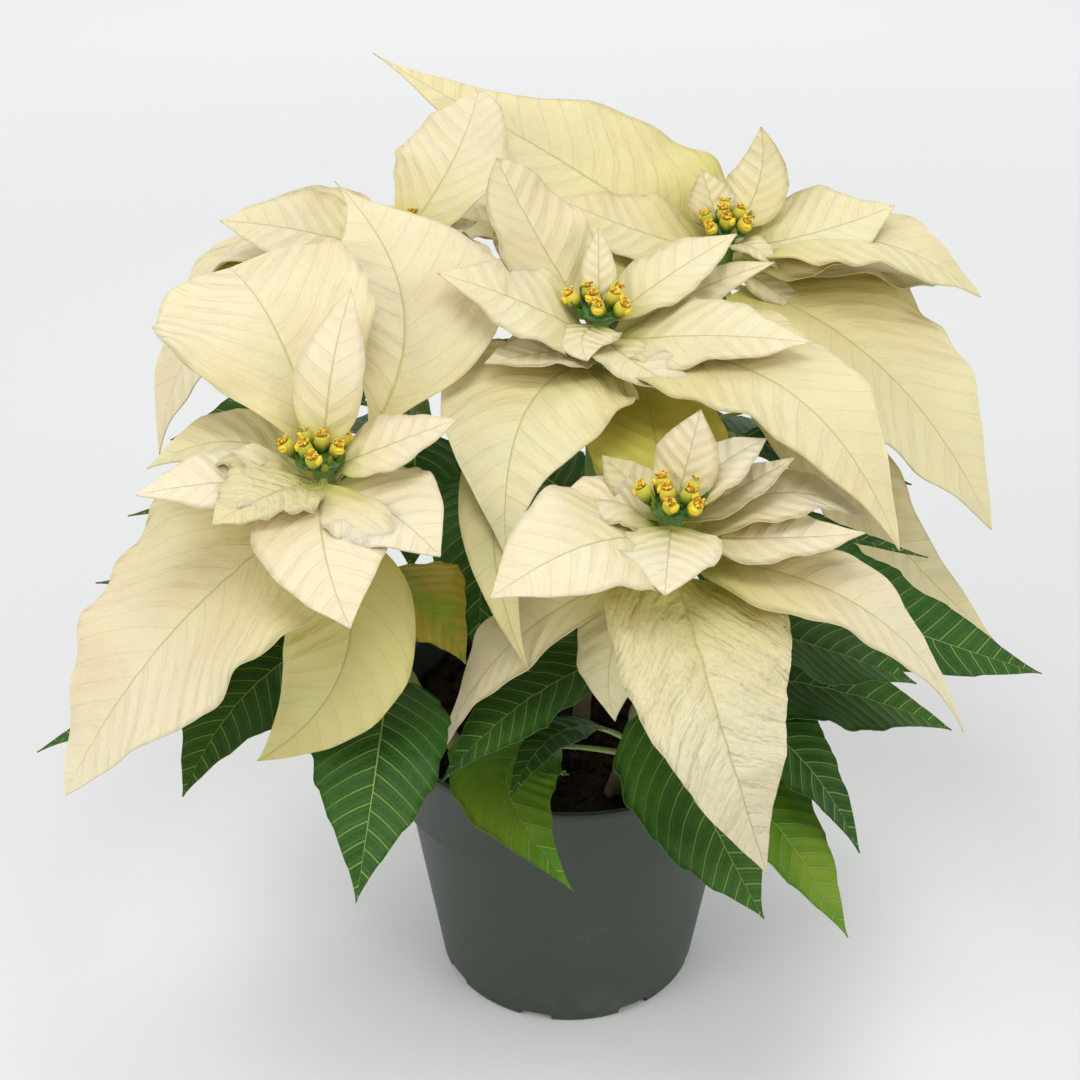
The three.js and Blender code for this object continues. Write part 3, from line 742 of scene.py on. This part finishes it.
def soil_piece(materials):
    collar = COLLAR_RADIUS - POT_WALL - GAP
    level = [(0.6, crown_height(0))]
    reach = np.linspace(0.02, 1, 56)[1:] * collar
    level += list(zip(reach, crown_height(reach / collar)))
    foot = POT_FOOT_RADIUS - POT_WALL - GAP - 1
    neck = POT_NECK_RADIUS - POT_WALL - GAP
    under = [(0.6, POT_FLOOR + GAP), (foot, POT_FLOOR + GAP), (neck, COLLAR_BOTTOM + GAP)]
    under.append((collar, COLLAR_BOTTOM + 2 + GAP))
    rings = turned_rings(under + level[::-1], SOIL_SIDES)
    top = rings[len(under):]
    x, y = top[..., 0], top[..., 1]
    rough = 0.9 * swell_of(31, 14, 40)(x, y) + 0.7 * swell_of(32, 5, 11)(x, y)
    rough = rough + 0.5 * swell_of(33, 2.5, 4.5, 9)(x, y)
    inward = np.clip((collar - np.hypot(x, y)) / 2, 0, 1)
    top[..., 2] += rough * inward
    piece = Piece()
    add_rings(piece, rings)
    chance = np.random.default_rng(34)
    lump = ball_rings((1, 1, 1), CRUMB_ROWS, CRUMB_SIDES).reshape(-1, 3)
    faces = skin_faces(CRUMB_ROWS, CRUMB_SIDES)
    for _ in range(CRUMBS):
        angle = chance.uniform(0, 2 * math.pi)
        distance = collar * 0.955 * math.sqrt(chance.uniform())
        size = CRUMB_SIZE[0] + (CRUMB_SIZE[1] - CRUMB_SIZE[0]) * chance.uniform() ** 2.5
        shape = lump * (1 + 0.28 * chance.normal(size=(len(lump), 1))) * chance.uniform(0.6, 1.3, 3) * size
        place = np.array([distance * math.cos(angle), distance * math.sin(angle), 0])
        place[2] = crown_height(distance / collar) + size * 0.25
        tint = np.zeros((len(lump), 4))
        tint[:, 0] = chance.uniform()
        piece.add(turned_by(shape, angle) + place, faces, 0, tint=tint)
    return piece.make("soil_peat", "soil", materials)


# ---- Materials ----

class Shader:
    """A procedural material: short calls that add nodes and hand back their outputs."""

    def __init__(self, name, roughness, specular=0.4):
        self.material = bpy.data.materials.new(name)
        self.material.use_nodes = True
        self.tree = self.material.node_tree
        self.surface = self.tree.nodes["Principled BSDF"]
        self.surface.inputs["Roughness"].default_value = roughness
        self.surface.inputs["Specular IOR Level"].default_value = specular

    def node(self, kind, **settings):
        made = self.tree.nodes.new(kind)
        for name, value in settings.items():
            setattr(made, name, value)
        return made

    def feed(self, socket, value):
        if isinstance(value, bpy.types.NodeSocket):
            self.tree.links.new(value, socket)
        else:
            socket.default_value = value

    def math(self, operation, *values):
        made = self.node("ShaderNodeMath", operation=operation)
        for socket, value in zip(made.inputs, values):
            self.feed(socket, value)
        return made.outputs[0]

    def strongest(self, *layers):
        """The strongest at each point of several marks, each with its own weight."""
        marks = [self.math("MULTIPLY", mark, weight) for mark, weight in layers]
        most = marks[0]
        for mark in marks[1:]:
            most = self.math("MAXIMUM", most, mark)
        return most

    def step(self, value, low, high, start=0.0, end=1.0):
        made = self.node("ShaderNodeMapRange", interpolation_type="SMOOTHSTEP")
        for name, number in zip(("Value", "From Min", "From Max", "To Min", "To Max"),
                                (value, low, high, start, end)):
            self.feed(made.inputs[name], number)
        return made.outputs[0]

    def mix(self, share, first, second):
        made = self.node("ShaderNodeMix", data_type="RGBA")
        self.feed(made.inputs[0], share)
        for socket, colour in zip(made.inputs[6:8], (first, second)):
            self.feed(socket, (*colour, 1) if isinstance(colour, tuple) else colour)
        return made.outputs[2]

    def place(self):
        return self.node("ShaderNodeTexCoord").outputs["Object"]

    def height(self):
        made = self.node("ShaderNodeSeparateXYZ")
        self.feed(made.inputs[0], self.place())
        return made.outputs[2]

    def noise(self, scale, detail=2.0, roughness=0.5):
        made = self.node("ShaderNodeTexNoise")
        self.feed(made.inputs["Vector"], self.place())
        made.inputs["Scale"].default_value = scale
        made.inputs["Detail"].default_value = detail
        made.inputs["Roughness"].default_value = roughness
        return made.outputs["Fac"]

    def cells(self, scale):
        made = self.node("ShaderNodeTexVoronoi", feature="DISTANCE_TO_EDGE")
        self.feed(made.inputs["Vector"], self.place())
        made.inputs["Scale"].default_value = scale
        return made.outputs["Distance"]

    def pair(self, layer):
        made = self.node("ShaderNodeSeparateXYZ")
        self.feed(made.inputs[0], self.node("ShaderNodeUVMap", uv_map=layer).outputs[0])
        return made.outputs[0], made.outputs[1]

    def tints(self):
        made = self.node("ShaderNodeSeparateColor")
        self.feed(made.inputs[0], self.node("ShaderNodeVertexColor", layer_name="tint").outputs[0])
        return made.outputs[0], made.outputs[1], made.outputs[2]

    def crepe(self):
        return self.node("ShaderNodeVertexColor", layer_name="tint").outputs[1]

    def pleats(self, turn):
        """Fine folds drawn out along the side veins."""
        x, _ = self.pair("rib")
        place = self.node("ShaderNodeCombineXYZ")
        self.feed(place.inputs[0], self.math("MULTIPLY", x, 0.9))
        self.feed(place.inputs[1], self.math("MULTIPLY", turn, 2.3))
        self.feed(place.inputs[2], self.math("MULTIPLY", self.tints()[0], 40.0))
        made = self.node("ShaderNodeTexNoise")
        self.feed(made.inputs["Vector"], place.outputs[0])
        made.inputs["Scale"].default_value = 1.0
        made.inputs["Detail"].default_value = 4.0
        return made.outputs["Fac"]

    def bump(self, height, distance, strength=1.0):
        made = self.node("ShaderNodeBump")
        self.feed(made.inputs["Height"], height)
        made.inputs["Distance"].default_value = distance
        made.inputs["Strength"].default_value = strength
        self.feed(self.surface.inputs["Normal"], made.outputs[0])

    def soften(self, weight, radius, scale):
        self.surface.inputs["Subsurface Weight"].default_value = weight
        self.surface.inputs["Subsurface Radius"].default_value = radius
        self.surface.inputs["Subsurface Scale"].default_value = scale

    def finish(self, colour, roughness=None):
        self.feed(self.surface.inputs["Base Color"], colour)
        if roughness is not None:
            self.feed(self.surface.inputs["Roughness"], roughness)
        return self.material


def vein_masks(shader, rib_width, vein_width):
    """How much of the midrib and of the side veins shows at a point, each from 0 to 1."""
    x, y = shader.pair("rib")
    share, _ = shader.pair("form")
    aside = shader.math("ABSOLUTE", x)
    taper = shader.math("MULTIPLY", shader.math("SUBTRACT", 1.06, share), rib_width)
    rib = shader.step(shader.math("DIVIDE", aside, taper), 1.0, 0.55)
    bent = shader.math("MULTIPLY", shader.math("MULTIPLY", x, x), VEIN_CURVE)
    back = shader.math("MULTIPLY_ADD", aside, VEIN_SLANT, bent)
    offset = shader.math("MULTIPLY", shader.math("GREATER_THAN", x, 0.0), VEIN_OFFSET)
    turn = shader.math("ADD", shader.math("SUBTRACT", y, back), offset)
    away = shader.math("SUBTRACT", shader.math("FRACT", shader.math("ADD", turn, 0.5)), 0.5)
    away = shader.math("ABSOLUTE", away)
    fade = shader.math("MULTIPLY", shader.step(aside, 3.6, 0.4, 0.25, 1.0), vein_width)
    vein = shader.step(shader.math("DIVIDE", away, fade), 1.0, 0.3)
    fine = shader.math("FRACT", shader.math("MULTIPLY", turn, 2.0))
    fine_away = shader.math("ABSOLUTE", shader.math("SUBTRACT", fine, 0.5))
    finer = shader.step(shader.math("DIVIDE", fine_away, shader.math("MULTIPLY", fade, 1.3)), 1.0, 0.3)
    return rib, vein, finer, share, away, turn


def bract_material():
    shader = Shader("bract_cream", 0.5, 0.28)
    rib, vein, finer, share, away, turn = vein_masks(shader, 0.085, 0.045)
    tone, yellow, under = shader.tints()
    patch = shader.noise(22, 3)
    cream = shader.mix(shader.step(patch, 0.35, 0.7), (0.77, 0.67, 0.46), (0.72, 0.60, 0.38))
    cream = shader.mix(shader.math("MULTIPLY", tone, 0.5), cream, (0.82, 0.75, 0.57))
    # Yellower colour of young bracts, which on bracts in shade is painted shade too.
    yellowish = shader.mix(shader.step(patch, 0.3, 0.75), (0.61, 0.57, 0.11), (0.52, 0.47, 0.055))
    cream = shader.mix(shader.math("MULTIPLY", yellow, 0.85), cream, yellowish)
    # Yellow-green towards the foot and on the underside: partly the bract's own colour, partly painted shade.
    cream = shader.mix(shader.step(share, 0.65, 0.1, 0.0, 0.5), cream, (0.64, 0.56, 0.16))
    cream = shader.mix(shader.step(share, 0.3, 0.02, 0.0, 0.85), cream, (0.46, 0.45, 0.06))
    cream = shader.mix(shader.math("MULTIPLY", under, 0.5), cream, (0.62, 0.54, 0.16))
    web = shader.step(shader.cells(420), 0.10, 0.02)
    marks = shader.strongest((vein, 0.07), (finer, 0.02), (rib, 0.6), (web, 0.05))
    colour = shader.mix(marks, cream, (0.48, 0.47, 0.13))
    wrinkle = shader.math("MULTIPLY_ADD", shader.noise(300, 3), 0.35, shader.pleats(turn))
    deep = shader.math("MULTIPLY", shader.crepe(), 0.3)
    shade = shader.math("MULTIPLY", shader.step(wrinkle, 0.8, 0.4), deep)
    colour = shader.mix(shade, colour, (0.62, 0.54, 0.26))
    crepe = shader.math("MULTIPLY_ADD", shader.crepe(), 1.6, 0.04)
    hollow = shader.math("MAXIMUM", shader.math("MULTIPLY", vein, 0.5), rib)
    height = shader.math("MULTIPLY_ADD", hollow, -0.12, shader.step(away, 0.0, 0.5, 0.0, 0.2))
    height = shader.math("MULTIPLY_ADD", wrinkle, crepe, height)
    height = shader.math("MULTIPLY_ADD", shader.noise(900, 2), 0.03, height)
    shader.bump(height, 0.0028, 0.8)
    shader.soften(0.25, (1.0, 0.85, 0.35), 0.002)
    return shader.finish(colour, shader.step(patch, 0.3, 0.7, 0.44, 0.58))


def leaf_material():
    shader = Shader("leaf_green", 0.46, 0.17)
    rib, vein, finer, share, away, _ = vein_masks(shader, 0.10, 0.052)
    tone, yellow, under = shader.tints()
    patch = shader.noise(30, 3)
    green = shader.mix(shader.step(patch, 0.3, 0.7), (0.016, 0.070, 0.007), (0.034, 0.108, 0.009))
    green = shader.mix(shader.math("MULTIPLY", tone, 0.4), green, (0.026, 0.10, 0.024))
    yellowish = shader.mix(shader.step(patch, 0.35, 0.7), (0.11, 0.27, 0.010), (0.25, 0.36, 0.02))
    green = shader.mix(yellow, green, yellowish)
    aged = shader.step(shader.math("MULTIPLY_ADD", shader.noise(75, 4), 0.5, yellow), 1.12, 1.3)
    green = shader.mix(aged, green, (0.42, 0.32, 0.045))
    green = shader.mix(shader.math("MULTIPLY", under, 0.6), green, (0.11, 0.20, 0.07))
    near = shader.math("MULTIPLY", shader.step(away, 0.22, 0.0), 0.25)
    green = shader.mix(near, green, (0.09, 0.20, 0.03))
    web = shader.step(shader.cells(480), 0.12, 0.02)
    marks = shader.strongest((vein, 0.75), (finer, 0.16), (web, 0.05), (rib, 0.95))
    colour = shader.mix(marks, green, (0.36, 0.47, 0.12))
    hollow = shader.math("MAXIMUM", vein, rib)
    height = shader.math("MULTIPLY_ADD", hollow, -0.6, shader.step(away, 0.0, 0.5, 0.0, 0.8))
    height = shader.math("ADD", height, shader.math("MULTIPLY", shader.noise(320, 3), 0.3))
    height = shader.math("MULTIPLY_ADD", web, -0.05, height)
    shader.bump(height, 0.0007, 0.8)
    shader.soften(0.06, (0.5, 1.0, 0.2), 0.002)
    return shader.finish(colour, shader.step(patch, 0.3, 0.7, 0.4, 0.56))


def stalk_material(name, first, second, scale, dark):
    shader = Shader(name, 0.45, 0.4)
    blotch = shader.step(shader.noise(scale, 3), 0.35, 0.65)
    colour = shader.mix(blotch, first, second)
    speck = shader.math("MULTIPLY", shader.step(shader.noise(700, 2), 0.6, 0.72), 0.5)
    colour = shader.mix(speck, colour, dark)
    shader.bump(shader.noise(500, 3), 0.0003, 0.5)
    return shader.finish(colour, shader.step(blotch, 0, 1, 0.4, 0.55))


def cane_material():
    shader = Shader("cane_bark", 0.6, 0.35)
    height = shader.math("MULTIPLY_ADD", shader.noise(60, 3), 0.04, shader.height())
    old = shader.step(height, 0.26, 0.17)
    green = shader.mix(shader.noise(90, 3), (0.10, 0.20, 0.04), (0.20, 0.30, 0.08))
    bark = shader.mix(shader.noise(240, 4), (0.12, 0.10, 0.045), (0.26, 0.22, 0.11))
    shader.bump(shader.noise(420, 4), 0.0006, 0.7)
    return shader.finish(shader.mix(old, green, bark), shader.step(shader.noise(150, 2), 0.3, 0.7, 0.5, 0.75))


def cup_material():
    shader = Shader("cyathium_cup", 0.38, 0.45)
    rise, tone, _ = shader.tints()
    speckle = shader.noise(900, 2)
    low = shader.mix(shader.step(speckle, 0.35, 0.65), (0.03, 0.10, 0.010), (0.08, 0.19, 0.02))
    high = shader.mix(shader.math("MULTIPLY", tone, 0.8), (0.50, 0.50, 0.05), (0.78, 0.60, 0.05))
    colour = shader.mix(shader.step(rise, 0.25, 0.75), low, high)
    shader.bump(shader.noise(1300, 2), 0.0002, 0.4)
    shader.soften(0.1, (1.0, 1.0, 0.3), 0.002)
    return shader.finish(colour, shader.step(speckle, 0.3, 0.7, 0.32, 0.46))


def grain_material(name, first, second, roughness):
    shader = Shader(name, roughness, 0.4)
    grain = shader.noise(1500, 3)
    shader.bump(grain, 0.0002, 0.6)
    colour = shader.mix(shader.step(grain, 0.35, 0.65), first, second)
    return shader.finish(colour, shader.step(grain, 0.3, 0.7, roughness - 0.08, roughness + 0.1))


def soil_material():
    shader = Shader("peat", 0.92, 0.2)
    tone, _, _ = shader.tints()
    coarse = shader.noise(160, 4, 0.65)
    dark = shader.mix(shader.step(coarse, 0.35, 0.7), (0.006, 0.004, 0.003), (0.026, 0.017, 0.010))
    dark = shader.mix(shader.math("MULTIPLY", shader.step(tone, 0.7, 1.0), 0.5), dark, (0.07, 0.046, 0.026))
    fleck = shader.step(shader.noise(900, 2), 0.66, 0.74)
    colour = shader.mix(shader.math("MULTIPLY", fleck, 0.5), dark, (0.22, 0.15, 0.08))
    height = shader.math("ADD", coarse, shader.math("MULTIPLY", shader.noise(1100, 3), 0.4))
    shader.bump(height, 0.0014, 0.9)
    return shader.finish(colour, shader.step(coarse, 0.3, 0.7, 0.82, 0.98))


def pot_material():
    shader = Shader("pot_plastic", 0.5, 0.4)
    cloud = shader.noise(9, 4, 0.6)
    colour = shader.mix(shader.step(cloud, 0.3, 0.7), (0.034, 0.045, 0.034), (0.044, 0.057, 0.043))
    settled = shader.step(shader.noise(45, 5, 0.7), 0.45, 0.7)
    dust = shader.math("MULTIPLY", shader.step(shader.height(), 0.03, 0.0), settled)
    colour = shader.mix(shader.math("MULTIPLY", dust, 0.22), colour, (0.20, 0.19, 0.16))
    spots = shader.step(shader.noise(330, 2), 0.70, 0.76)
    colour = shader.mix(shader.math("MULTIPLY", spots, 0.16), colour, (0.16, 0.18, 0.16))
    scuff = shader.math("MULTIPLY", shader.step(shader.noise(26, 6, 0.75), 0.58, 0.66), 0.10)
    colour = shader.mix(scuff, colour, (0.15, 0.17, 0.15))
    grain = shader.math("MULTIPLY_ADD", shader.noise(1600, 2), 0.5, shader.noise(420, 2))
    shader.bump(grain, 0.00012, 0.5)
    return shader.finish(colour, shader.step(cloud, 0.3, 0.7, 0.44, 0.56))


def floor_material():
    """Matt paper with painted light: palest close to the pot and greyest a hand's width out."""
    shader = Shader("floor_paper_painted_light", 0.8, 0.2)
    place = shader.node("ShaderNodeVectorMath", operation="LENGTH")
    shader.feed(place.inputs[0], shader.place())
    away = place.outputs["Value"]
    # Painted light: a pool of light close to the pot that lifts the plant's cast shadow there.
    near = shader.mix(shader.step(away, 0.15, 0.26), (0.95, 0.95, 0.94), (0.76, 0.76, 0.755))
    # Painted light: the floor far from the pot is lighter again.
    return shader.finish(shader.mix(shader.step(away, 0.8, 1.4), near, (0.86, 0.86, 0.85)))


# ---- The plant ----

BRACT = bract_material()
LEAF = leaf_material()
CANE = cane_material()
PETIOLE = stalk_material("leaf_stalk", (0.22, 0.30, 0.08), (0.34, 0.38, 0.14), 60, (0.20, 0.10, 0.05))
BRACT_FOOT = stalk_material("bract_stalk", (0.55, 0.58, 0.22), (0.68, 0.68, 0.32), 60, (0.40, 0.42, 0.12))
CUP = cup_material()
GLAND = grain_material("gland_yellow", (0.88, 0.58, 0.02), (0.92, 0.70, 0.05), 0.3)
POLLEN = grain_material("stamen_yellow", (0.80, 0.50, 0.02), (0.90, 0.66, 0.06), 0.55)
ANTHER = grain_material("anther_orange", (0.36, 0.16, 0.015), (0.64, 0.36, 0.03), 0.6)

pot_piece([pot_material()])
soil_piece([soil_material()])

for letter, (root, bloom) in CANES.items():
    cane = Cane(root, bloom)
    neck_start = cane.share_at(bloom[2] - NECK_LENGTH)
    neck_end = cane.share_at(bloom[2] - NECK_TOP)

    leafy = Piece()
    path = cane.stretch(0, neck_start)
    radii = CANE_RADIUS * (1 + 0.04 * ripple_of((9, ord(letter)), 6)(path[:, 2] / 60))
    for height, *_ in LEAVES[letter]:
        radii = radii + 0.7 * np.exp(-(((path[:, 2] - height) / 3.5) ** 2))
    add_rings(leafy, tube_rings(path, radii, CANE_SIDES), 2)
    for blade in leaf_blades(cane, letter):
        add_blade(leafy, blade, 0, 1)
    leafy.make(f"leaves_{letter}", f"leafy_stem_{letter}", [LEAF, PETIOLE, CANE])

    rosette = Piece()
    path = cane.stretch(neck_start, neck_end)
    flare = np.linspace(0, 1, len(path)) ** 4
    add_rings(rosette, tube_rings(path, NECK_RADIUS * (1.06 + 0.2 * flare), CANE_SIDES), 2)
    for blade in bract_blades(cane, letter):
        add_blade(rosette, blade, 0, 1)
    rosette.make(f"rosette_{letter}", f"bracts_{letter}", [BRACT, BRACT_FOOT, CANE])

    cluster = Piece()
    add_cyathia(cluster, cane, letter)
    cluster.make(f"cups_{letter}", f"cyathia_{letter}", [CUP, GLAND, POLLEN, ANTHER])

# ---- Floor, light and camera ----

# The floor, the lights and the camera are placed in metres.
FLOOR_SIZE = 9.0
PLANT_MIDDLE = (0, 0, 0.2)
floor_mesh = bpy.data.meshes.new("floor")
half_floor = FLOOR_SIZE / 2
floor_mesh.from_pydata(
    [(-half_floor, -half_floor, 0), (half_floor, -half_floor, 0), (half_floor, half_floor, 0),
     (-half_floor, half_floor, 0)],
    [],
    [(0, 1, 2, 3)],
)
floor = bpy.data.objects.new("floor", floor_mesh)
bpy.context.scene.collection.objects.link(floor)
floor_mesh.materials.append(floor_material())

world = bpy.data.worlds.new("studio")
world.use_nodes = True
world.node_tree.nodes["Background"].inputs["Color"].default_value = (0.95, 0.97, 1.0, 1)
world.node_tree.nodes["Background"].inputs["Strength"].default_value = 0.54
bpy.context.scene.world = world


def area_light(name, place, aim, size, power, colour):
    lamp = bpy.data.lights.new(name, "AREA")
    lamp.shape = "DISK"
    lamp.size = size
    lamp.energy = power
    lamp.color = colour
    holder = bpy.data.objects.new(name, lamp)
    bpy.context.scene.collection.objects.link(holder)
    holder.location = place
    way = unit(np.array(aim, float) - np.array(place, float))
    pitch = math.acos(-way[2])
    turn = math.atan2(way[1], way[0]) - math.pi / 2
    holder.rotation_euler = (pitch, 0, turn)


area_light("key", (-1.5, -1.0, 1.4), PLANT_MIDDLE, 1.3, 14, (1.0, 0.985, 0.96))
area_light("fill", (1.6, -1.1, 1.2), PLANT_MIDDLE, 1.6, 13, (1.0, 0.99, 0.97))
area_light("top", (-0.1, -0.5, 2.4), PLANT_MIDDLE, 1.3, 19, (1.0, 1.0, 1.0))
area_light("backdrop", (0, 1.7, 2.1), (0, 1.3, 0), 1.5, 14, (1.0, 1.0, 1.0))

CAMERA_PLACE = (-0.013, -0.7844, 0.7217)
CAMERA_TILT = 57.5
FOCAL_LENGTH = 73.33
lens = bpy.data.cameras.new("camera")
lens.lens = FOCAL_LENGTH
lens.sensor_width = 36
camera = bpy.data.objects.new("camera", lens)
camera.location = CAMERA_PLACE
camera.rotation_euler = (math.radians(CAMERA_TILT), 0, 0)
bpy.context.scene.collection.objects.link(camera)
bpy.context.scene.camera = camera
bpy.context.scene.view_settings.view_transform = "Standard"
